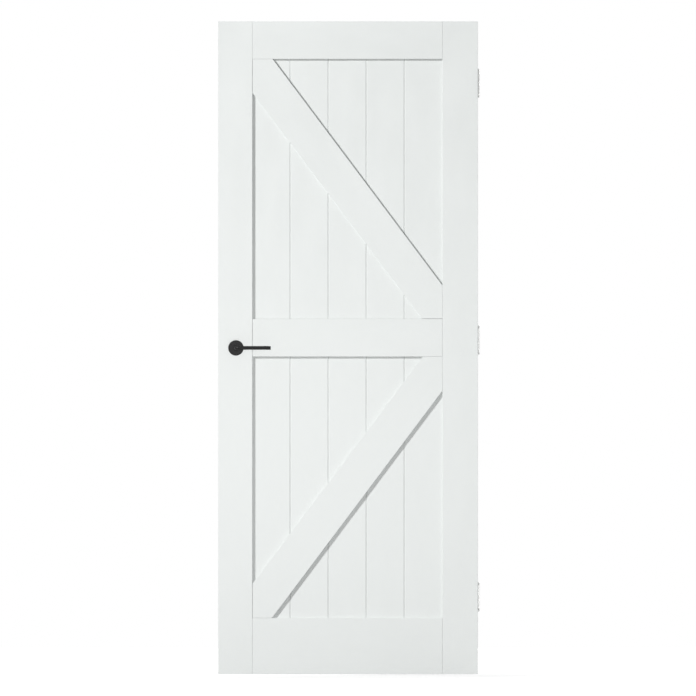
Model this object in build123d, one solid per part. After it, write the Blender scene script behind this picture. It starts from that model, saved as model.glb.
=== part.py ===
from build123d import *
import math
import os

# Door leaf, in millimetres: x from the lock edge, y from mid thickness, z from the bottom
DOOR_W = 842.0
DOOR_H = 2115.0
DOOR_T = 40.0
LOCK_STILE_W = 111.0
HINGE_STILE_W = 115.0
TOP_RAIL_H = 122.0
MID_RAIL_H = 122.0
BOTTOM_RAIL_H = 182.0
LOWER_PANEL_H = 847.0
ARRIS = 0.4
SHOULDER_GAP = 0.35
MID_RAIL_GAP = 0.9

# Panels of upright boards, set into grooves in the frame
BOARD_T = 20.0
BOARDS = 5
BOARD_V = 2.0
GROOVE_D = 12.0
BOARD_IN = 10.0
TENON_L = 11.5
TONGUE_T = 6.0
TONGUE_L = 5.5
TONGUE_PLAY = 0.4

# Diagonal braces, level with the frame
BRACE_W = 117.5
BRACE_SLOPE = 4.0 / 3.0
BRACE_FIT = 0.3
BRACE_SLACK = 0.9

# Lever handle on a round rose
HANDLE_X = 58.0
HANDLE_Z = 1057.0
ROSE_D = 50.0
ROSE_T = 8.0
ROSE_EDGE = 1.2
NOTCH_W = 5.0
NOTCH_D = 1.5
LEVER_D = 12.0
LEVER_REACH = 113.0
LEVER_OUT = 58.0
TIP_EDGE = 0.8
ELBOW_R = 10.0
HUB_D = 18.0
HUB_OUT = 7.0
HUB_EDGE = 1.0
HUB_CLEAR = 0.5
RUNNING = 0.05
GRUB_D = 4.0
SPINDLE = 8.0
SOCKET_L = 12.0
SPINDLE_BORE_D = 20.0

# Tubular latch let into the lock edge
LATCH_D = 22.0
LATCH_L = 78.0
LATCH_FIT = 0.2
FOLLOWER_D = 12.0
FOREND_W = 25.0
FOREND_H = 57.0
FOREND_T = 2.5
FOREND_CORNER_R = 6.0
FOREND_HOLES = 42.0
FOREND_HOLE_R = 1.9
FOREND_HEAD_R = 3.7
NOSE_W = 12.0
NOSE_H = 17.0
NOSE_L = 14.5
NOSE_BEVEL = 10.0

# Butt hinges
HINGE_H = 89.0
HINGE_Z = (250.0, 1082.5, 1915.0)
LEAF_T = 2.5
LEAF_IN = 36.5
LEAF_PAST = 0.8
LEAF_CORNER_R = 8.0
HINGE_GAP = 1.5
KNUCKLE_R = 5.6
PIN_R = 3.0
PIN_OUT = 8.0
KNUCKLES = 5
KNUCKLE_GAP = 2.2
SEAM_W = 0.3
SCREW_HOLE_R = 2.6
SCREW_HEAD_R = 4.5
HOLES_Y = 17.0
HOLES_Z = 60.0
CAP_H = 3.0
CAP_EDGE = 1.2

# How far a cutting shape runs past the surface that it opens
PAST = 1.0

# Worked out from the sizes above
FACE = DOOR_T / 2
PANEL_W = DOOR_W - LOCK_STILE_W - HINGE_STILE_W
PANEL_X = LOCK_STILE_W + PANEL_W / 2
BOARD_W = PANEL_W / BOARDS
LOWER_Z = BOTTOM_RAIL_H
MID_Z = LOWER_Z + LOWER_PANEL_H
UPPER_Z = MID_Z + MID_RAIL_H
TOP_Z = DOOR_H - TOP_RAIL_H
UPPER_PANEL_H = TOP_Z - UPPER_Z
JAMB_X = DOOR_W + HINGE_GAP + LEAF_T
PIN_X = DOOR_W + HINGE_GAP / 2
PIN_Y = FACE + PIN_OUT
LEAF_Y = FACE - LEAF_IN / 2


def save(name, solid):
    """Write one piece, with the frame's origin on the lowest jamb leaf."""
    placed = Pos(-JAMB_X, -LEAF_Y, -HINGE_Z[0]) * solid
    placed.label = name
    export_step(placed, f"parts/{name}.step")


def other_face(solid):
    """The same piece on the back of the door."""
    return mirror(solid, about=Plane.XZ)


# Frame


def stile(width, groove_side):
    """Full-height upright with chamfered arrises and a groove for the boards."""
    outline = chamfer(Rectangle(width, DOOR_T).vertices(), ARRIS)
    groove = Rectangle(GROOVE_D, BOARD_T)
    outline -= Pos(groove_side * (width - GROOVE_D) / 2, 0) * groove
    return extrude(outline, DOOR_H)


def lock_stile():
    """Stile with the latch bore, the forend's recess and the spindle hole."""
    solid = Pos(LOCK_STILE_W / 2, 0, 0) * stile(LOCK_STILE_W, 1)
    bore = Rot(0, 90, 0) * Cylinder(LATCH_D / 2 + LATCH_FIT, LATCH_L + PAST)
    recess = forend_blank(2 * FOREND_T)
    cross = Pos(HANDLE_X, 0, 0) * Rot(90, 0, 0) * Cylinder(SPINDLE_BORE_D / 2, DOOR_T + PAST)
    bore = Pos((LATCH_L - PAST) / 2, 0, 0) * bore
    return solid - Pos(0, 0, HANDLE_Z) * (bore + recess + cross)


def hinge_stile():
    """Stile with a shallow rounded recess for each hinge leaf."""
    solid = Pos(DOOR_W - HINGE_STILE_W / 2, 0, 0) * stile(HINGE_STILE_W, -1)
    for z in HINGE_Z:
        solid -= Pos(DOOR_W - LEAF_T, 0, z) * leaf_plate(2 * LEAF_T)
    return solid


def rail(low_z, height, groove_sides, lock_gap):
    """Rail with stub tenons, and a groove for the boards' ends on the sides given."""
    solid = Box(PANEL_W - lock_gap - SHOULDER_GAP, DOOR_T, height)
    faces = solid.faces().sort_by(Axis.Y)
    solid = chamfer(faces[0].edges() + faces[-1].edges(), ARRIS)
    tenoned_w = PANEL_W + 2 * TENON_L
    solid = Pos((lock_gap - SHOULDER_GAP) / 2, 0, 0) * solid
    solid += Box(tenoned_w, BOARD_T, height)
    groove = Box(tenoned_w, BOARD_T, GROOVE_D)
    for side in groove_sides:
        solid -= Pos(0, 0, side * (height - GROOVE_D) / 2) * groove
    return Pos(PANEL_X, 0, low_z + height / 2) * solid


# Panels


def board(index, height):
    """Upright board: V-cut edges, a tongue on its right and a groove on its left."""
    first = index == 0
    last = index == BOARDS - 1
    low = -BOARD_IN if first else 0
    high = BOARD_W + BOARD_IN if last else BOARD_W
    outline = Pos((low + high) / 2, 0) * Rectangle(high - low, BOARD_T)
    corners = outline.vertices().sort_by(Axis.X)
    meeting = ([] if first else corners[:2]) + ([] if last else corners[2:])
    outline = chamfer(meeting, BOARD_V)
    joint = TONGUE_L + PAST
    if not last:
        outline += Pos(BOARD_W + (TONGUE_L - PAST) / 2, 0) * Rectangle(joint, TONGUE_T)
    if not first:
        outline -= Pos(joint / 2, 0) * Rectangle(joint, TONGUE_T + TONGUE_PLAY)
    return extrude(outline, height + 2 * BOARD_IN)


def brace(height, direction, foot_gap):
    """Diagonal board on the upright boards, cut to the opening, tight at head and hinges."""
    angle = direction * math.degrees(math.atan(BRACE_SLOPE))
    outline = Rot(0, 0, angle) * Rectangle(3 * PANEL_W, BRACE_W)
    opening = Rectangle(PANEL_W - BRACE_SLACK - BRACE_FIT, height - foot_gap - BRACE_FIT)
    outline &= Pos((BRACE_SLACK - BRACE_FIT) / 2, (foot_gap - BRACE_FIT) / 2) * opening
    solid = extrude(Plane.XZ * outline, (DOOR_T - BOARD_T) / 2)
    front = solid.faces().sort_by(Axis.Y)[0]
    return Pos(0, -BOARD_T / 2, 0) * chamfer(front.edges(), ARRIS)


# Latch


def forend_blank(thickness):
    """Rounded outline of the forend, from its middle, lying in the lock edge."""
    outline = fillet(Rectangle(FOREND_W, FOREND_H).vertices(), FOREND_CORNER_R)
    return extrude(Plane.YZ * outline, thickness / 2, both=True)


def nose_opening():
    """Opening that the latch nose passes, from the lock edge inwards."""
    size = (2 * NOSE_L + PAST, NOSE_W + 2 * LATCH_FIT, NOSE_H + 2 * LATCH_FIT)
    return Box(*size)


def latch_forend():
    """Forend plate with the nose's opening and two countersunk holes."""
    plate = Pos(FOREND_T / 2, 0, 0) * forend_blank(FOREND_T) - nose_opening()
    sink = FOREND_HEAD_R - FOREND_HOLE_R
    for side in (-1, 1):
        place = Pos(0, 0, side * FOREND_HOLES / 2) * Rot(0, 90, 0)
        plate -= place * Cylinder(FOREND_HOLE_R, 2 * FOREND_T + PAST)
        plate -= place * Pos(0, 0, sink / 2) * Cone(FOREND_HEAD_R, FOREND_HOLE_R, sink)
    return Pos(0, 0, HANDLE_Z) * plate


def latch_case():
    """Tubular latch body with the hole that the spindle passes."""
    length = LATCH_L - FOREND_T
    tube = Pos(FOREND_T + length / 2, 0, 0) * Rot(0, 90, 0) * Cylinder(LATCH_D / 2, length)
    follower = Pos(HANDLE_X, 0, 0) * Rot(90, 0, 0) * Cylinder(FOLLOWER_D / 2, LATCH_D + PAST)
    return Pos(0, 0, HANDLE_Z) * (tube - nose_opening() - follower)


def latch_bolt():
    """Latch nose drawn level with the forend, bevelled on its closing side."""
    half = NOSE_W / 2
    corners = [(0, half), (NOSE_L, half), (NOSE_L, -half), (NOSE_BEVEL, -half)]
    outline = make_face(Polyline(*corners, close=True))
    return Pos(0, 0, HANDLE_Z - NOSE_H / 2) * extrude(outline, NOSE_H)


# Handle


def rose_front():
    """Turned round rose with a bevelled rim, a bore for the hub and a notch below."""
    section = Pos(ROSE_D / 4, ROSE_T / 2) * Rectangle(ROSE_D / 2, ROSE_T)
    section = chamfer(section.vertices().sort_by(SortBy.DISTANCE)[-1], ROSE_EDGE)
    bore = HUB_D / 2 + RUNNING
    section -= Pos(bore / 2, ROSE_T / 2) * Rectangle(bore, ROSE_T + PAST)
    disc = revolve(Plane.XZ * section, Axis.Z)
    disc -= Pos(0, -ROSE_D / 2, 0) * Box(NOTCH_W, 2 * NOTCH_D, 2 * NOTCH_D)
    return Pos(HANDLE_X, -FACE, HANDLE_Z) * Rot(90, 0, 0) * disc


def lever_front():
    """Round bar lever: hub in the rose, neck, bent elbow and straight grip."""
    hub_back = -FACE - HUB_CLEAR
    hub_front = -FACE - ROSE_T - HUB_OUT
    start = (0, hub_front + PAST, 0)
    bend = (0, -FACE - LEVER_OUT, 0)
    tip = (LEVER_REACH, -FACE - LEVER_OUT, 0)
    path = FilletPolyline(start, bend, tip, radius=ELBOW_R)
    grip = sweep(Plane(origin=start, z_dir=(0, -1, 0)) * Circle(LEVER_D / 2), path=path)
    grip = chamfer(grip.faces().sort_by(Axis.X)[-1].edges(), TIP_EDGE)
    hub_l = hub_back - hub_front
    hub = Pos(0, hub_back - hub_l / 2, 0) * Rot(90, 0, 0) * Cylinder(HUB_D / 2, hub_l)
    hub = chamfer(hub.faces().sort_by(Axis.Y)[0].edges(), HUB_EDGE)
    socket = Pos(0, hub_back - SOCKET_L / 2, 0) * Box(SPINDLE, SOCKET_L, SPINDLE)
    grub_y = -FACE - ROSE_T - HUB_OUT / 2
    grub = Pos(0, grub_y, -HUB_D / 4) * Cylinder(GRUB_D / 2, HUB_D / 2 + PAST)
    return Pos(HANDLE_X, 0, HANDLE_Z) * (grip + hub - socket - grub)


def spindle():
    """Square bar that joins the two levers through the latch."""
    length = DOOR_T + 2 * (HUB_CLEAR + SOCKET_L)
    return Pos(HANDLE_X, 0, HANDLE_Z) * Box(SPINDLE, length, SPINDLE)


# Hinges


def leaf_plate(thickness):
    """Flat of a hinge leaf, rounded at its inner corners, with x from 0 up."""
    low = LEAF_Y - LEAF_IN / 2
    high = FACE + LEAF_PAST
    outline = Pos((low + high) / 2, 0) * Rectangle(high - low, HINGE_H)
    corners = outline.vertices().sort_by(Axis.X)[:2]
    outline = fillet(corners, LEAF_CORNER_R)
    return extrude(Plane.YZ * outline, thickness)


def knuckle_outline():
    """Rolled knuckle seen along the pin: neck, ring, bore and the roll's seam."""
    inner = JAMB_X - LEAF_T
    reach = math.hypot(JAMB_X - PIN_X, PIN_Y - FACE)
    turn = math.atan2(FACE - PIN_Y, JAMB_X - PIN_X) + math.acos(KNUCKLE_R / reach)
    touch = (PIN_X + KNUCKLE_R * math.cos(turn), PIN_Y + KNUCKLE_R * math.sin(turn))
    neck = make_face(Polyline((inner, FACE), (JAMB_X, FACE), touch, (inner, PIN_Y), close=True))
    ring = Pos(PIN_X, PIN_Y) * (Circle(KNUCKLE_R) - Circle(PIN_R))
    bore = Pos(PIN_X, PIN_Y) * Circle(PIN_R)
    seam_y = PIN_Y - (KNUCKLE_R + PIN_R) / 2
    seam = Pos(inner - SEAM_W / 2, seam_y) * Rectangle(SEAM_W, KNUCKLE_R - PIN_R + PAST)
    return neck - bore + ring - seam


def jamb_leaf(knuckles):
    """Hinge leaf on the jamb's side, with the knuckles given and countersunk holes."""
    solid = Pos(JAMB_X - LEAF_T, 0, 0) * leaf_plate(LEAF_T)
    length = (HINGE_H - (KNUCKLES - 1) * KNUCKLE_GAP) / KNUCKLES
    for index in knuckles:
        low = -HINGE_H / 2 + index * (length + KNUCKLE_GAP)
        solid += Pos(0, 0, low) * extrude(knuckle_outline(), length)
    sink = SCREW_HEAD_R - SCREW_HOLE_R
    for side_y in (-1, 1):
        for side_z in (-1, 1):
            place = Pos(JAMB_X - LEAF_T, LEAF_Y + side_y * HOLES_Y / 2, side_z * HOLES_Z / 2)
            place = place * Rot(0, 90, 0)
            solid -= place * Cylinder(SCREW_HOLE_R, 2 * LEAF_T + PAST)
            solid -= place * Pos(0, 0, sink / 2) * Cone(SCREW_HEAD_R, SCREW_HOLE_R, sink)
    return solid


def door_leaf(knuckles):
    """Hinge leaf on the door's side: the other leaf, turned over."""
    middle = Plane(origin=(PIN_X, 0, 0), z_dir=(1, 0, 0))
    return mirror(jamb_leaf(knuckles), about=middle)


def hinge_pin():
    """Pin with a bevelled button at each end."""
    cap = Pos(0, 0, (HINGE_H + CAP_H) / 2) * Cylinder(KNUCKLE_R, CAP_H)
    cap = chamfer(cap.faces().sort_by(Axis.Z)[-1].edges(), CAP_EDGE)
    shaft = Cylinder(PIN_R - RUNNING, HINGE_H + CAP_H)
    return Pos(PIN_X, PIN_Y, 0) * (shaft + cap + mirror(cap, about=Plane.XY))


def build():
    """Make every piece and write it."""
    os.makedirs("parts", exist_ok=True)
    save("lock_stile", lock_stile())
    save("hinge_stile", hinge_stile())
    save("top_rail", rail(TOP_Z, TOP_RAIL_H, (-1,), SHOULDER_GAP))
    save("mid_rail", rail(MID_Z, MID_RAIL_H, (-1, 1), MID_RAIL_GAP))
    save("bottom_rail", rail(0, BOTTOM_RAIL_H, (1,), SHOULDER_GAP))
    lower = ("lower", LOWER_Z, LOWER_PANEL_H, 1, BRACE_FIT)
    upper = ("upper", UPPER_Z, UPPER_PANEL_H, -1, BRACE_SLACK)
    for name, low_z, height, direction, foot_gap in (lower, upper):
        for index in range(BOARDS):
            place = Pos(LOCK_STILE_W + index * BOARD_W, 0, low_z - BOARD_IN)
            save(f"board_{name}_{index + 1}", place * board(index, height))
        front = brace(height, direction, foot_gap)
        front = Pos(PANEL_X, 0, low_z + height / 2) * front
        save(f"brace_{name}_front", front)
        save(f"brace_{name}_back", other_face(front))
    save("rose_front", rose_front())
    save("rose_back", other_face(rose_front()))
    save("lever_front", lever_front())
    save("lever_back", other_face(lever_front()))
    save("spindle", spindle())
    save("latch_case", latch_case())
    save("latch_forend", latch_forend())
    save("latch_bolt", latch_bolt())
    for name, z in zip(("bottom", "middle", "top"), HINGE_Z):
        save(f"hinge_{name}_jamb_leaf", Pos(0, 0, z) * jamb_leaf((0, 2, 4)))
        save(f"hinge_{name}_door_leaf", Pos(0, 0, z) * door_leaf((1, 3)))
        save(f"hinge_{name}_pin", Pos(0, 0, z) * hinge_pin())


build()
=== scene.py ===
# %% [markdown]
# A white interior door: two stiles and three rails, with upright boards and a diagonal
# brace in each of the two openings. It hangs on three butt hinges and has a black lever
# handle on each face. The construction is loaded as a fixed frame, in metres. The handle's
# side is at negative X, the front looks towards -Y, and Z goes up.
# This script adds the finishes, the small fasteners, the light and the camera.

# %% Load the frame
import math
import random

import bpy
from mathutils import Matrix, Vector


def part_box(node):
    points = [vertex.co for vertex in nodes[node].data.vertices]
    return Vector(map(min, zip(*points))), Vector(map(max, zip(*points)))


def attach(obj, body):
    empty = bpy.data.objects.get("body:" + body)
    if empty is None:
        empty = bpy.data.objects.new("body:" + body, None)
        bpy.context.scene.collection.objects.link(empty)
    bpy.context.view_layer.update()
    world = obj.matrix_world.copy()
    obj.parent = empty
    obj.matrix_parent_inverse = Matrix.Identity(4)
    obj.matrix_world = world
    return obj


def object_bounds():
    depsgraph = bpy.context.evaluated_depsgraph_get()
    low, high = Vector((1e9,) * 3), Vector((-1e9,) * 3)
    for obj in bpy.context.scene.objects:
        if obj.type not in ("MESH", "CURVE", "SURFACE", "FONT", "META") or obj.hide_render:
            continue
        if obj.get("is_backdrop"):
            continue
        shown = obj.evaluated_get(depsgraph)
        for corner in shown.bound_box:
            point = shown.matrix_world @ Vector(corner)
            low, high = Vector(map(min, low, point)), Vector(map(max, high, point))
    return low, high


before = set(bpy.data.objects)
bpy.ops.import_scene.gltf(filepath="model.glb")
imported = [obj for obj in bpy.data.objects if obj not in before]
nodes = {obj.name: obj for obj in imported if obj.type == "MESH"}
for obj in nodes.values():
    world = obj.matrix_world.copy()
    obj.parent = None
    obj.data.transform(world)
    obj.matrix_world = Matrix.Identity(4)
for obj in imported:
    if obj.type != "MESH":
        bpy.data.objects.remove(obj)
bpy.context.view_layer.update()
print("pieces in the frame:", len(nodes))

# %% [markdown]
# Sizes are read from the frame, so nothing here has to be kept in step by hand. The two
# stiles give the leaf's outline, and the rose gives the handle's axis.

# %% Read the leaf and the handle from the frame
leaf_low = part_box("lock_stile")[0]
leaf_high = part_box("hinge_stile")[1]
leaf_middle = (leaf_low + leaf_high) / 2
leaf_size = leaf_high - leaf_low
rose_low, rose_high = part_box("rose_front")
handle_x = (rose_low.x + rose_high.x) / 2
handle_z = (rose_low.z + rose_high.z) / 2
print("leaf, metres:", [round(side, 4) for side in leaf_size])

# %% [markdown]
# The camera. The photograph is square on: both stiles are equally wide and no side face of
# the frame shows, so it was taken from far off with a long lens. The top and bottom edges
# of the door in the picture give the scale, and their middle gives the camera's height.

# %% Camera
PICTURE = 696
DOOR_TOP_PX = 21.3
DOOR_BOTTOM_PX = 674.2
DOOR_LEFT_PX = 218.0
DOOR_RIGHT_PX = 478.0
LENS = 1000
SENSOR = 36
CLIP_FACTOR = 4
QUARTER_TURN = math.radians(90)

metres_per_px = leaf_size.z / (DOOR_BOTTOM_PX - DOOR_TOP_PX)
shown_width = PICTURE * metres_per_px
distance = shown_width * LENS / SENSOR
off_x = ((DOOR_LEFT_PX + DOOR_RIGHT_PX) / 2 - PICTURE / 2) * metres_per_px
off_z = ((DOOR_TOP_PX + DOOR_BOTTOM_PX) / 2 - PICTURE / 2) * metres_per_px
camera = bpy.data.cameras.new("camera")
camera.lens = LENS
camera.sensor_width = SENSOR
camera.clip_end = CLIP_FACTOR * distance
camera_object = bpy.data.objects.new("camera", camera)
bpy.context.scene.collection.objects.link(camera_object)
camera_object.location = (
    leaf_middle.x - off_x,
    leaf_low.y - distance,
    leaf_middle.z + off_z,
)
camera_object.rotation_euler = (QUARTER_TURN, 0, 0)
bpy.context.scene.camera = camera_object
print("camera distance, metres:", round(distance, 2))

# %% [markdown]
# The light. In the picture each recess has a narrow soft shadow on its left and under its
# rail, so the main lamp stands high on the left and far away. The middle of the door is a
# little brighter than its corners, which a large soft lamp in front of it gives. A lamp
# behind the door lights its other face when the object is turned. The world fills the rest.
# White paint throws light on: beside each lit edge the boards glow, and in full that glow
# would burn out to a white line, where the picture shows a faint step. So most of the main
# light comes from a lamp without bounces, and a second lamp in its place has the rest.

# %% Lamps
KEY_FROM = Vector((-8.6, -8.0, 5.5))
KEY_SIZE = 1.4
KEY_POWER = 1340
KEY_BOUNCE = 0.25
FILL_FROM = Vector((-0.2, -2.8, -0.46))
FILL_SIZE = 1.0
FILL_POWER = 14.3
BACK_FROM = Vector((4.0, 6.0, 3.0))
BACK_SIZE = 3.0
BACK_POWER = 360


def soft_lamp(name, offset, size, power):
    """A square lamp that looks at the middle of the leaf."""
    light = bpy.data.lights.new(name, "AREA")
    light.shape = "SQUARE"
    light.size = size
    light.energy = power
    lamp = bpy.data.objects.new(name, light)
    bpy.context.scene.collection.objects.link(lamp)
    lamp.location = leaf_middle + offset
    lamp.rotation_euler = (-offset).to_track_quat("-Z", "Y").to_euler()
    lamp.visible_camera = False
    return lamp


key_lamp = soft_lamp("key_lamp", KEY_FROM, KEY_SIZE, (1 - KEY_BOUNCE) * KEY_POWER)
key_lamp.data.cycles.max_bounces = 0
key_rest = soft_lamp("key_rest", KEY_FROM, KEY_SIZE, KEY_BOUNCE * KEY_POWER)
fill_lamp = soft_lamp("fill_lamp", FILL_FROM, FILL_SIZE, FILL_POWER)
back_lamp = soft_lamp("back_lamp", BACK_FROM, BACK_SIZE, BACK_POWER)

# %% [markdown]
# The world gives the even light that comes from all sides, and it is also the white that
# shows behind the door. Those need two strengths, so it tells the kinds of ray apart: one
# that comes from the camera, a gloss or a clear material sees white, and the paint is lit
# by the dimmer light. The plain view shows each colour about as it is written.

# %% World
AMBIENT = 0.272
AMBIENT_COLOUR = (0.985, 1.0, 0.995)


def seen_directly(tree):
    """One where a ray comes from the camera, a gloss or a clear material, else zero."""
    path = tree.nodes.new("ShaderNodeLightPath")
    first = tree.nodes.new("ShaderNodeMath")
    first.operation = "MAXIMUM"
    tree.links.new(path.outputs["Is Camera Ray"], first.inputs[0])
    tree.links.new(path.outputs["Is Glossy Ray"], first.inputs[1])
    both = tree.nodes.new("ShaderNodeMath")
    both.operation = "MAXIMUM"
    tree.links.new(first.outputs[0], both.inputs[0])
    tree.links.new(path.outputs["Is Transmission Ray"], both.inputs[1])
    return both.outputs[0]


world = bpy.data.worlds.new("studio")
bpy.context.scene.world = world
world.use_nodes = True
sky = world.node_tree
sky.nodes.clear()
ambient = sky.nodes.new("ShaderNodeBackground")
ambient.inputs["Color"].default_value = (*AMBIENT_COLOUR, 1)
ambient.inputs["Strength"].default_value = AMBIENT
white = sky.nodes.new("ShaderNodeBackground")
white.inputs["Color"].default_value = (1, 1, 1, 1)
white.inputs["Strength"].default_value = 1
choice = sky.nodes.new("ShaderNodeMixShader")
sky.links.new(seen_directly(sky), choice.inputs["Fac"])
sky.links.new(ambient.outputs[0], choice.inputs[1])
sky.links.new(white.outputs[0], choice.inputs[2])
sky_out = sky.nodes.new("ShaderNodeOutputWorld")
sky.links.new(choice.outputs[0], sky_out.inputs["Surface"])
bpy.context.scene.view_settings.view_transform = "Standard"
print("world:", world.name, "with an even light of", AMBIENT)

# %% [markdown]
# The handles stand 58 mm off the door, and a lamp would throw a long shadow of each one
# onto the white paint. The photograph shows none, which is what much softer light from
# many sides gives. Shadow linking does the same here: the handles are taken out of the
# list of things that block these lamps. The light of the world still darkens the paint
# close to the roses a little, so they don't seem to float.

# %% Handles without a hard shadow
no_shadow = bpy.data.collections.new("handles_without_shadow")
for name in ("rose_front", "lever_front", "rose_back", "lever_back"):
    no_shadow.objects.link(nodes[name])
for member in no_shadow.collection_objects:
    member.light_linking.link_state = "EXCLUDE"
for lamp in (key_lamp, key_rest, fill_lamp, back_lamp):
    lamp.light_linking.blocker_collection = no_shadow
print("pieces without a hard shadow:", len(no_shadow.collection_objects))

# %% [markdown]
# The floor is a plain pale sheet one centimetre under the leaf, where a room's floor would
# be. Its own colour takes the door's shadow. What it adds to rays from the camera and from
# gloss lifts it to the white of the picture, and doesn't light the paint as a lamp would.
# The lift grows with the distance from the door, so the soft shadow stays and the sheet's
# far edge doesn't show.

# %% Floor
FLOOR_GAP = 0.010
FLOOR_SIZE = 12
FLOOR_COLOUR = (0.5, 0.5, 0.5)
FLOOR_LIFT = 0.64
FADE_FROM = 0.5
FADE_TO = 2.2

bpy.ops.object.select_all(action="DESELECT")
floor_at = (leaf_middle.x, leaf_middle.y, leaf_low.z - FLOOR_GAP)
bpy.ops.mesh.primitive_plane_add(size=FLOOR_SIZE, location=floor_at)
floor = bpy.context.object
floor.name = "floor"
floor_finish = bpy.data.materials.new("floor")
floor_finish.use_nodes = True
tree = floor_finish.node_tree
tree.nodes.clear()
matt = tree.nodes.new("ShaderNodeBsdfDiffuse")
matt.inputs["Color"].default_value = (*FLOOR_COLOUR, 1)
lift = tree.nodes.new("ShaderNodeEmission")
lift.inputs["Color"].default_value = (1, 1, 1, 1)
place = tree.nodes.new("ShaderNodeTexCoord")
away = tree.nodes.new("ShaderNodeVectorMath")
away.operation = "LENGTH"
tree.links.new(place.outputs["Object"], away.inputs[0])
fade = tree.nodes.new("ShaderNodeMapRange")
fade.inputs["From Min"].default_value = FADE_FROM
fade.inputs["From Max"].default_value = FADE_TO
fade.inputs["To Min"].default_value = FLOOR_LIFT
fade.inputs["To Max"].default_value = 1
tree.links.new(away.outputs["Value"], fade.inputs["Value"])
strength = tree.nodes.new("ShaderNodeMath")
strength.operation = "MULTIPLY"
tree.links.new(fade.outputs["Result"], strength.inputs[0])
tree.links.new(seen_directly(tree), strength.inputs[1])
tree.links.new(strength.outputs[0], lift.inputs["Strength"])
both = tree.nodes.new("ShaderNodeAddShader")
tree.links.new(matt.outputs[0], both.inputs[0])
tree.links.new(lift.outputs[0], both.inputs[1])
floor_out = tree.nodes.new("ShaderNodeOutputMaterial")
tree.links.new(both.outputs[0], floor_out.inputs["Surface"])
floor.data.materials.append(floor_finish)
floor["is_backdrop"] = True
print("floor at height:", round(floor_at[2], 3))

# %% [markdown]
# Every finish below is built from the same few steps: a shader with its constants set on
# its own sockets, a pattern placed in the object's coordinates, and that pattern used as
# tone, roughness or relief. These helpers hold those steps. A texture mapping turns the
# pattern first and then stretches it, so a grain can run along any board. Blender's noise
# seldom leaves the range from 0.3 to 0.7, so that range is taken as its whole reach.

# %% Helpers for the finishes
NOISE_LOW = 0.3
NOISE_HIGH = 0.7


def start(name, colour, roughness, metallic):
    """A new material with plain values, its nodes and its shader."""
    finish = bpy.data.materials.new(name)
    finish.use_nodes = True
    shader = finish.node_tree.nodes["Principled BSDF"]
    shader.inputs["Base Color"].default_value = (*colour, 1)
    shader.inputs["Roughness"].default_value = roughness
    shader.inputs["Metallic"].default_value = metallic
    return finish, finish.node_tree, shader


def pattern(tree, size, turn=0, detail=3):
    """Noise whose grains have the given size along X, Y and Z, turned in the door's plane."""
    place = tree.nodes.new("ShaderNodeTexCoord")
    mapping = tree.nodes.new("ShaderNodeMapping")
    mapping.vector_type = "TEXTURE"
    mapping.inputs["Rotation"].default_value = (0, turn, 0)
    mapping.inputs["Scale"].default_value = size
    noise = tree.nodes.new("ShaderNodeTexNoise")
    noise.inputs["Scale"].default_value = 1
    noise.inputs["Detail"].default_value = detail
    tree.links.new(place.outputs["Object"], mapping.inputs["Vector"])
    tree.links.new(mapping.outputs["Vector"], noise.inputs["Vector"])
    return noise.outputs["Fac"]


def spread(tree, value, low, high):
    """The middle of a noise, stretched to run from low to high."""
    reach = tree.nodes.new("ShaderNodeMapRange")
    reach.inputs["From Min"].default_value = NOISE_LOW
    reach.inputs["From Max"].default_value = NOISE_HIGH
    reach.inputs["To Min"].default_value = low
    reach.inputs["To Max"].default_value = high
    tree.links.new(value, reach.inputs["Value"])
    return reach.outputs["Result"]


def between(tree, value, first, second):
    """A colour that runs from the first to the second as the value goes up."""
    ramp = tree.nodes.new("ShaderNodeValToRGB")
    ramp.color_ramp.elements[0].position = NOISE_LOW
    ramp.color_ramp.elements[0].color = (*first, 1)
    ramp.color_ramp.elements[1].position = NOISE_HIGH
    ramp.color_ramp.elements[1].color = (*second, 1)
    tree.links.new(value, ramp.inputs["Fac"])
    return ramp.outputs["Color"]


def relief(tree, height, depth, below=None):
    """A bump of the given depth in metres, laid over an earlier one."""
    bump = tree.nodes.new("ShaderNodeBump")
    bump.inputs["Strength"].default_value = 1
    bump.inputs["Distance"].default_value = depth
    tree.links.new(height, bump.inputs["Height"])
    if below is not None:
        tree.links.new(below, bump.inputs["Normal"])
    return bump.outputs["Normal"]


# %% [markdown]
# The white finish is a sprayed satin paint on planed wood. Close up it has a fine orange
# peel, the grain of the wood still telegraphs through it as long shallow streaks, and its
# tone and sheen wander slightly from place to place. The streaks follow each member, so
# uprights, rails and braces have a paint each, and only the turn of the grain differs.

# %% Paint
PAINT_LIGHT = (0.85, 0.873, 0.862)
PAINT_DARK = (0.824, 0.847, 0.836)
PAINT_SHEEN = 0.42
SMOOTHER = 0.04
DULLER = 0.06
GRAIN_SIZE = (0.0011, 0.0011, 0.06)
GRAIN_DEPTH = 0.00007
PEEL_SIZE = (0.0009, 0.0009, 0.0009)
PEEL_DEPTH = 0.00004
CLOUD_SIZE = (0.09, 0.09, 0.22)


def paint(name, turn):
    """Satin white paint with its streaks turned from upright in the door's plane."""
    finish, tree, shader = start(name, PAINT_LIGHT, PAINT_SHEEN, 0)
    cloud = pattern(tree, CLOUD_SIZE, turn)
    grain = pattern(tree, GRAIN_SIZE, turn)
    peel = pattern(tree, PEEL_SIZE, detail=1)
    tone = between(tree, cloud, PAINT_DARK, PAINT_LIGHT)
    sheen = spread(tree, cloud, PAINT_SHEEN - SMOOTHER, PAINT_SHEEN + DULLER)
    tree.links.new(tone, shader.inputs["Base Color"])
    tree.links.new(sheen, shader.inputs["Roughness"])
    normal = relief(tree, grain, GRAIN_DEPTH)
    normal = relief(tree, peel, PEEL_DEPTH, normal)
    tree.links.new(normal, shader.inputs["Normal"])
    return finish


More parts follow.
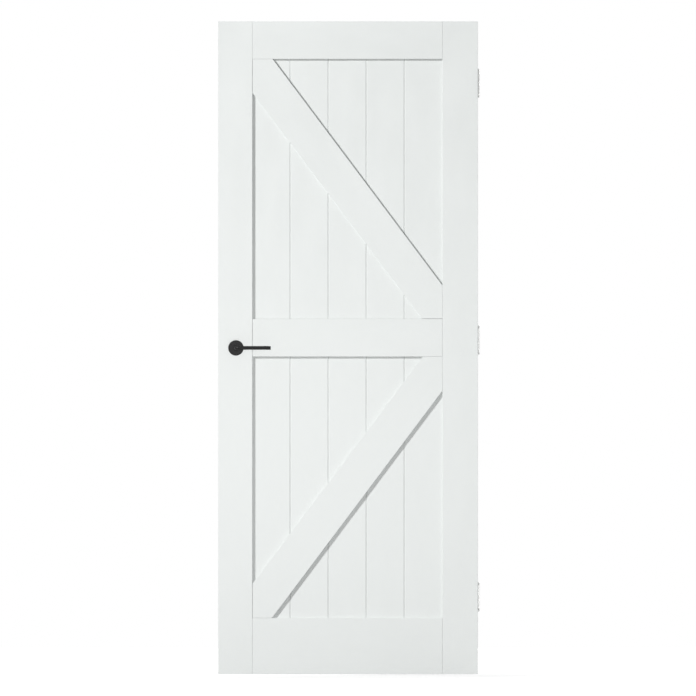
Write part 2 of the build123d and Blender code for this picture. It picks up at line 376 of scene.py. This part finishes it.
BRACE_SLOPE = 4 / 3
BRACE_TURN = QUARTER_TURN - math.atan(BRACE_SLOPE)
paints = {
    "upright": paint("paint_upright", 0),
    "rail": paint("paint_rail", QUARTER_TURN),
    "brace_lower": paint("paint_brace_lower", BRACE_TURN),
    "brace_upper": paint("paint_brace_upper", -BRACE_TURN),
}
print("paints:", sorted(paints))

# %% [markdown]
# The levers and roses have a black powder coat. It is a thick even skin with a very fine
# stipple, so highlights on the round bar break up a little at their edges.

# %% Powder coat
COAT_COLOUR = (0.0055, 0.0055, 0.0058)
COAT_WORN = (0.0095, 0.0095, 0.0098)
COAT_ROUGHNESS = 0.36
COAT_GLOSS = 0.2
SMEAR_SIZE = (0.02, 0.02, 0.02)
STIPPLE_SIZE = (0.0004, 0.0004, 0.0004)
STIPPLE_DEPTH = 0.00001

black_coat, tree, shader = start("black_coat", COAT_COLOUR, COAT_ROUGHNESS, 0)
shader.inputs["Specular IOR Level"].default_value = COAT_GLOSS
smear = pattern(tree, SMEAR_SIZE)
tree.links.new(between(tree, smear, COAT_COLOUR, COAT_WORN), shader.inputs["Base Color"])
rough = spread(tree, smear, COAT_ROUGHNESS - SMOOTHER, COAT_ROUGHNESS + DULLER)
tree.links.new(rough, shader.inputs["Roughness"])
stipple = pattern(tree, STIPPLE_SIZE, detail=1)
tree.links.new(relief(tree, stipple, STIPPLE_DEPTH), shader.inputs["Normal"])
print("coat:", black_coat.name)

# %% [markdown]
# The hinges, the forend and their screws are satin stainless steel, brushed along their
# height. The spindle, the latch's tube and bolt and the grub screws are zinc plated, with
# the faint blotches that plating has. Both are metals whose tone and roughness follow the
# pattern.

# %% Metals
STEEL = (0.74, 0.74, 0.73)
STEEL_DARK = (0.6, 0.6, 0.595)
PLATED = (0.56, 0.57, 0.58)
PLATED_DARK = (0.45, 0.46, 0.48)
STEEL_ROUGHNESS = 0.3
PLATED_ROUGHNESS = 0.34
BRUSHED = (0.0003, 0.0003, 0.012)
BLOTCHES = (0.003, 0.003, 0.003)
METAL_DEPTH = 0.000004
METAL_SMOOTHER = 0.05
METAL_DULLER = 0.08


def metal(name, bright, dull, roughness, grain_size):
    """A metal whose tone, roughness and relief follow one grain."""
    finish, tree, shader = start(name, bright, roughness, 1)
    grain = pattern(tree, grain_size)
    tree.links.new(between(tree, grain, dull, bright), shader.inputs["Base Color"])
    rough = spread(tree, grain, roughness - METAL_SMOOTHER, roughness + METAL_DULLER)
    tree.links.new(rough, shader.inputs["Roughness"])
    tree.links.new(relief(tree, grain, METAL_DEPTH), shader.inputs["Normal"])
    return finish


satin_steel = metal("satin_steel", STEEL, STEEL_DARK, STEEL_ROUGHNESS, BRUSHED)
plated_steel = metal("plated_steel", PLATED, PLATED_DARK, PLATED_ROUGHNESS, BLOTCHES)
print("metals:", satin_steel.name, plated_steel.name)

# %% [markdown]
# Each node of the frame keeps its own shape and only gets a finish. The rule is by name.

# %% Give every node its finish


def finish_of(name):
    """The finish of a node of the frame."""
    if name.startswith("brace_"):
        return paints["brace_lower" if "lower" in name else "brace_upper"]
    if name.endswith("_rail"):
        return paints["rail"]
    if name.endswith("_stile") or name.startswith("board_"):
        return paints["upright"]
    if name.startswith("rose_") or name.startswith("lever_"):
        return black_coat
    if name.startswith("hinge_") or name == "latch_forend":
        return satin_steel
    return plated_steel


for name, node in nodes.items():
    node.data.materials.clear()
    node.data.materials.append(finish_of(name))
print("finished nodes:", len(nodes))

# %% [markdown]
# The new pieces are small fasteners, modelled upright at the origin. Blender's operators
# act on what is selected, so these helpers select one piece or some of its faces first,
# and then push the faces out or cut one shape from another.

# %% Helpers that select and shape
LEVEL = 0.5


def fresh():
    """Leave edit mode with nothing selected."""
    if bpy.context.mode != "OBJECT":
        bpy.ops.object.mode_set(mode="OBJECT")
    bpy.ops.object.select_all(action="DESELECT")


def only(piece):
    """Make one piece the selected and active one."""
    fresh()
    piece.select_set(True)
    bpy.context.view_layer.objects.active = piece


def pick_faces(piece, wanted):
    """In edit mode, select just the faces that the test wants."""
    bpy.ops.mesh.select_all(action="DESELECT")
    bpy.ops.object.mode_set(mode="OBJECT")
    for face in piece.data.polygons:
        face.select = wanted(face)
    bpy.ops.object.mode_set(mode="EDIT")
    bpy.ops.mesh.select_mode(type="FACE")


def looks_down(face):
    """True for a face that looks down."""
    return face.normal.z < -LEVEL


def is_end(face):
    """True for a face that looks up or down."""
    return abs(face.normal.z) > LEVEL


def push_out(length, share):
    """Extrude the selected faces along Z and scale their far end."""
    move = {"value": (0, 0, length)}
    bpy.ops.mesh.extrude_region_move(TRANSFORM_OT_translate=move)
    bpy.ops.transform.resize(value=(share, share, 1))


def cut(piece, tool):
    """Take the tool's shape out of the piece and delete the tool."""
    only(piece)
    modifier = piece.modifiers.new("cut", "BOOLEAN")
    modifier.operation = "DIFFERENCE"
    modifier.solver = "EXACT"
    modifier.object = tool
    bpy.ops.object.modifier_apply(modifier=modifier.name)
    bpy.data.objects.remove(tool)


# %% [markdown]
# Each fastener is modelled once. A copy is turned and moved to its seat, and the move is
# written into the copy's mesh, so the object itself stays at the origin. The copies that
# belong together are joined, shaded smooth up to their sharp edges, and ride on the body
# that carries them.

# %% Helpers that seat and join
SMOOTH_UP_TO = math.radians(30)


def seat(model, name, place, turn):
    """A copy of the model, spun about its own axis, tipped, moved and fixed there."""
    copy = model.copy()
    copy.data = model.data.copy()
    copy.name = name
    bpy.context.scene.collection.objects.link(copy)
    copy.location = place
    copy.rotation_mode = "ZYX"
    copy.rotation_euler = turn
    only(copy)
    bpy.ops.object.transform_apply(location=True, rotation=True, scale=True)
    return copy


def joined(parts, name, body, finish):
    """Join the copies into one piece that rides on a body."""
    only(parts[0])
    for part in parts:
        part.select_set(True)
    if len(parts) > 1:
        bpy.ops.object.join()
    piece = bpy.context.object
    piece.name = name
    piece.data.name = name
    piece.data.materials.clear()
    piece.data.materials.append(finish)
    bpy.ops.object.shade_smooth_by_angle(angle=SMOOTH_UP_TO)
    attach(piece, body)
    print(name, "triangles:", sum(len(f.vertices) - 2 for f in piece.data.polygons))
    return piece


# %% [markdown]
# A countersunk wood screw: a flat head whose cone fits the countersink, a shank and a
# point. A cylinder gives the thin rim of the head, and its lower face is extruded and
# scaled down for the cone, the shank and the point. The cross recess is cut out by two
# tapered bars, which is how the tool that forms it is shaped. The rim and the recess are
# given in radii of the head and the tip in radii of the shank, so one function makes
# both sizes of screw.

# %% Screw
SCREW_SIDES = 40
RIM_DEEP = 0.06
TIP_LONG = 3
SHANK_TAPER = 0.92
POINT_SHARE = 0.12
RECESS_LONG = 1.15
RECESS_WIDE = 0.24
RECESS_DEEP = 0.42
RECESS_TAPER = (0.35, 0.6, 1)


def tapered_bar(length, width, depth):
    """A bar that narrows downwards, standing proud of the head's face."""
    fresh()
    bpy.ops.mesh.primitive_cube_add(size=1, location=(0, 0, 0))
    bar = bpy.context.object
    bar.scale = (length, width, 2 * depth)
    bpy.ops.object.transform_apply(location=False, rotation=False, scale=True)
    bpy.ops.object.mode_set(mode="EDIT")
    pick_faces(bar, looks_down)
    bpy.ops.transform.resize(value=RECESS_TAPER)
    fresh()
    return bar


def screw(head_r, shank_r, length):
    """A countersunk cross-head screw with the face of its head at the origin, facing up."""
    rim = RIM_DEEP * head_r
    cone = head_r - shank_r
    tip = TIP_LONG * shank_r
    fresh()
    middle = (0, 0, -rim / 2)
    bpy.ops.mesh.primitive_cylinder_add(
        vertices=SCREW_SIDES, radius=head_r, depth=rim, location=middle
    )
    piece = bpy.context.object
    bpy.ops.object.transform_apply(location=True, rotation=False, scale=False)
    bpy.ops.object.mode_set(mode="EDIT")
    pick_faces(piece, looks_down)
    push_out(-cone, shank_r / head_r)
    push_out(-(length - cone - tip), SHANK_TAPER)
    push_out(-tip, POINT_SHARE)
    fresh()
    for turn in (0, QUARTER_TURN):
        bar = tapered_bar(RECESS_LONG * head_r, RECESS_WIDE * head_r, RECESS_DEEP * head_r)
        bar.rotation_euler = (0, 0, turn)
        only(bar)
        bpy.ops.object.transform_apply(location=False, rotation=True, scale=False)
        cut(piece, bar)
    return piece


# %% [markdown]
# The door-side leaf of each hinge is held by four of these screws, driven into the stile.
# The jamb-side leaf keeps its open holes, since the door frame isn't part of the object.
# The holes' height comes from the hinge leaf's box and their depth from the door's back
# face, so both follow the construction. Each head is sunk a little, and each cross stands
# at a turn of its own, as screws do.

# %% Hinge screws
random.seed(7)
HINGES = ("bottom", "middle", "top")
HOLES_ACROSS = 0.017
HOLES_UP = 0.060
LEAF_WIDE = 0.0365
HEAD_R = 0.0043
SHANK_R = 0.0024
SCREW_LENGTH = 0.030
SUNK = 0.00012

wood_screw = screw(HEAD_R, SHANK_R, SCREW_LENGTH)
stile_edge = leaf_high.x
leaf_y = leaf_high.y - LEAF_WIDE / 2
for hinge in HINGES:
    low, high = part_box(f"hinge_{hinge}_door_leaf")
    middle_z = (low.z + high.z) / 2
    parts = []
    for side_y in (-1, 1):
        for side_z in (-1, 1):
            place = Vector((stile_edge - SUNK, leaf_y, middle_z))
            place += Vector((0, side_y * HOLES_ACROSS, side_z * HOLES_UP)) / 2
            spin = random.uniform(0, QUARTER_TURN)
            parts.append(seat(wood_screw, "screw", place, (0, QUARTER_TURN, spin)))
    joined(parts, f"hinge_{hinge}_screws", "door", satin_steel)
bpy.data.objects.remove(wood_screw)

# %% [markdown]
# The forend is held by two smaller screws of the same kind, above and below the bolt.

# %% Forend screws
FOREND_HOLES = 0.042
FOREND_HEAD_R = 0.0035
FOREND_SHANK_R = 0.0017
FOREND_SCREW_LENGTH = 0.022

forend_screw = screw(FOREND_HEAD_R, FOREND_SHANK_R, FOREND_SCREW_LENGTH)
parts = []
for side in (-1, 1):
    place = Vector((leaf_low.x + SUNK, leaf_middle.y, handle_z + side * FOREND_HOLES / 2))
    spin = random.uniform(0, QUARTER_TURN)
    parts.append(seat(forend_screw, "screw", place, (0, -QUARTER_TURN, spin)))
joined(parts, "latch_forend_screws", "door", satin_steel)
bpy.data.objects.remove(forend_screw)

# %% [markdown]
# Between the knuckles of a good hinge sits a thin ring that carries the weight, so that
# the knuckles don't grind on each other. It is a small section, bevelled at its corners
# and spun round the pin. The section's face is taken out first, so that only its outline
# is swept and no wall is left inside. Spinning closes on itself, so the seam is merged and
# the normals are set right again.

# %% Hinge rings
KNUCKLES = 5
KNUCKLE_GAP = 0.0022
RING_INNER = 0.00305
RING_OUTER = 0.0057
RING_HIGH = 0.0020
RING_BEVEL = 0.0003
RING_STEPS = 64
WHOLE_TURN = math.radians(360)
MERGE_WITHIN = 0.00001


def ring():
    """A bevelled ring round the Z axis, centred on the origin."""
    fresh()
    middle = ((RING_INNER + RING_OUTER) / 2, 0, 0)
    upright = (QUARTER_TURN, 0, 0)
    bpy.ops.mesh.primitive_plane_add(size=1, location=middle, rotation=upright)
    piece = bpy.context.object
    piece.scale = (RING_OUTER - RING_INNER, RING_HIGH, 1)
    bpy.ops.object.transform_apply(location=True, rotation=True, scale=True)
    bpy.ops.object.mode_set(mode="EDIT")
    bpy.ops.mesh.select_all(action="SELECT")
    bpy.ops.mesh.bevel(offset=RING_BEVEL, segments=2, affect="VERTICES")
    bpy.ops.mesh.select_all(action="SELECT")
    bpy.ops.mesh.delete(type="ONLY_FACE")
    bpy.ops.mesh.select_all(action="SELECT")
    bpy.ops.mesh.spin(steps=RING_STEPS, angle=WHOLE_TURN, center=(0, 0, 0), axis=(0, 0, 1))
    bpy.ops.mesh.select_all(action="SELECT")
    bpy.ops.mesh.remove_doubles(threshold=MERGE_WITHIN)
    bpy.ops.mesh.normals_make_consistent(inside=False)
    fresh()
    return piece


pin_ring = ring()
for hinge in HINGES:
    low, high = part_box(f"hinge_{hinge}_pin")
    leaf_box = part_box(f"hinge_{hinge}_jamb_leaf")
    hinge_high = leaf_box[1].z - leaf_box[0].z
    knuckle = (hinge_high - (KNUCKLES - 1) * KNUCKLE_GAP) / KNUCKLES
    middle = (low + high) / 2
    parts = []
    for gap in range(KNUCKLES - 1):
        up = leaf_box[0].z + (gap + 1) * knuckle + (gap + 0.5) * KNUCKLE_GAP
        parts.append(seat(pin_ring, "ring", (middle.x, middle.y, up), (0, 0, 0)))
    joined(parts, f"hinge_{hinge}_rings", "jamb", satin_steel)
bpy.data.objects.remove(pin_ring)

# %% [markdown]
# Under each hub a small grub screw grips the spindle. It is a short pin with a hexagonal
# socket, sunk in its hole, so only its end shows from below.

# %% Grub screws
GRUB_R = 0.00192
GRUB_LONG = 0.0042
GRUB_SIDES = 32
GRUB_EDGE = 0.0002
SOCKET_R = 0.00115
SOCKET_SIDES = 6
HUB_R = 0.009
GRUB_SUNK = 0.0008
GRUB_OFF_FACE = 0.0115


def grub_screw():
    """A grub screw with the face of its socket at the origin, facing up."""
    fresh()
    bpy.ops.mesh.primitive_cylinder_add(
        vertices=GRUB_SIDES, radius=GRUB_R, depth=GRUB_LONG, location=(0, 0, -GRUB_LONG / 2)
    )
    piece = bpy.context.object
    bpy.ops.object.transform_apply(location=True, rotation=False, scale=False)
    bpy.ops.object.mode_set(mode="EDIT")
    pick_faces(piece, is_end)
    bpy.ops.mesh.bevel(offset=GRUB_EDGE, segments=1, affect="EDGES")
    fresh()
    bpy.ops.mesh.primitive_cylinder_add(
        vertices=SOCKET_SIDES, radius=SOCKET_R, depth=GRUB_LONG, location=(0, 0, 0)
    )
    cut(piece, bpy.context.object)
    return piece


grub = grub_screw()
face_down = (2 * QUARTER_TURN, 0, 0)
for side, outward, face_y in (("front", -1, leaf_low.y), ("back", 1, leaf_high.y)):
    up = handle_z - HUB_R + GRUB_SUNK
    place = (handle_x, face_y + outward * GRUB_OFF_FACE, up)
    part = seat(grub, "grub", place, face_down)
    joined([part], f"lever_{side}_grub_screw", "handle", plated_steel)
bpy.data.objects.remove(grub)

# %% [markdown]
# Last, the box of everything shown is printed, so that it can be set beside the
# construction's own box.

# %% Sizes and finish
low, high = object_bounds()
print("shown box, metres:", [round(side, 4) for side in high - low])
fresh()
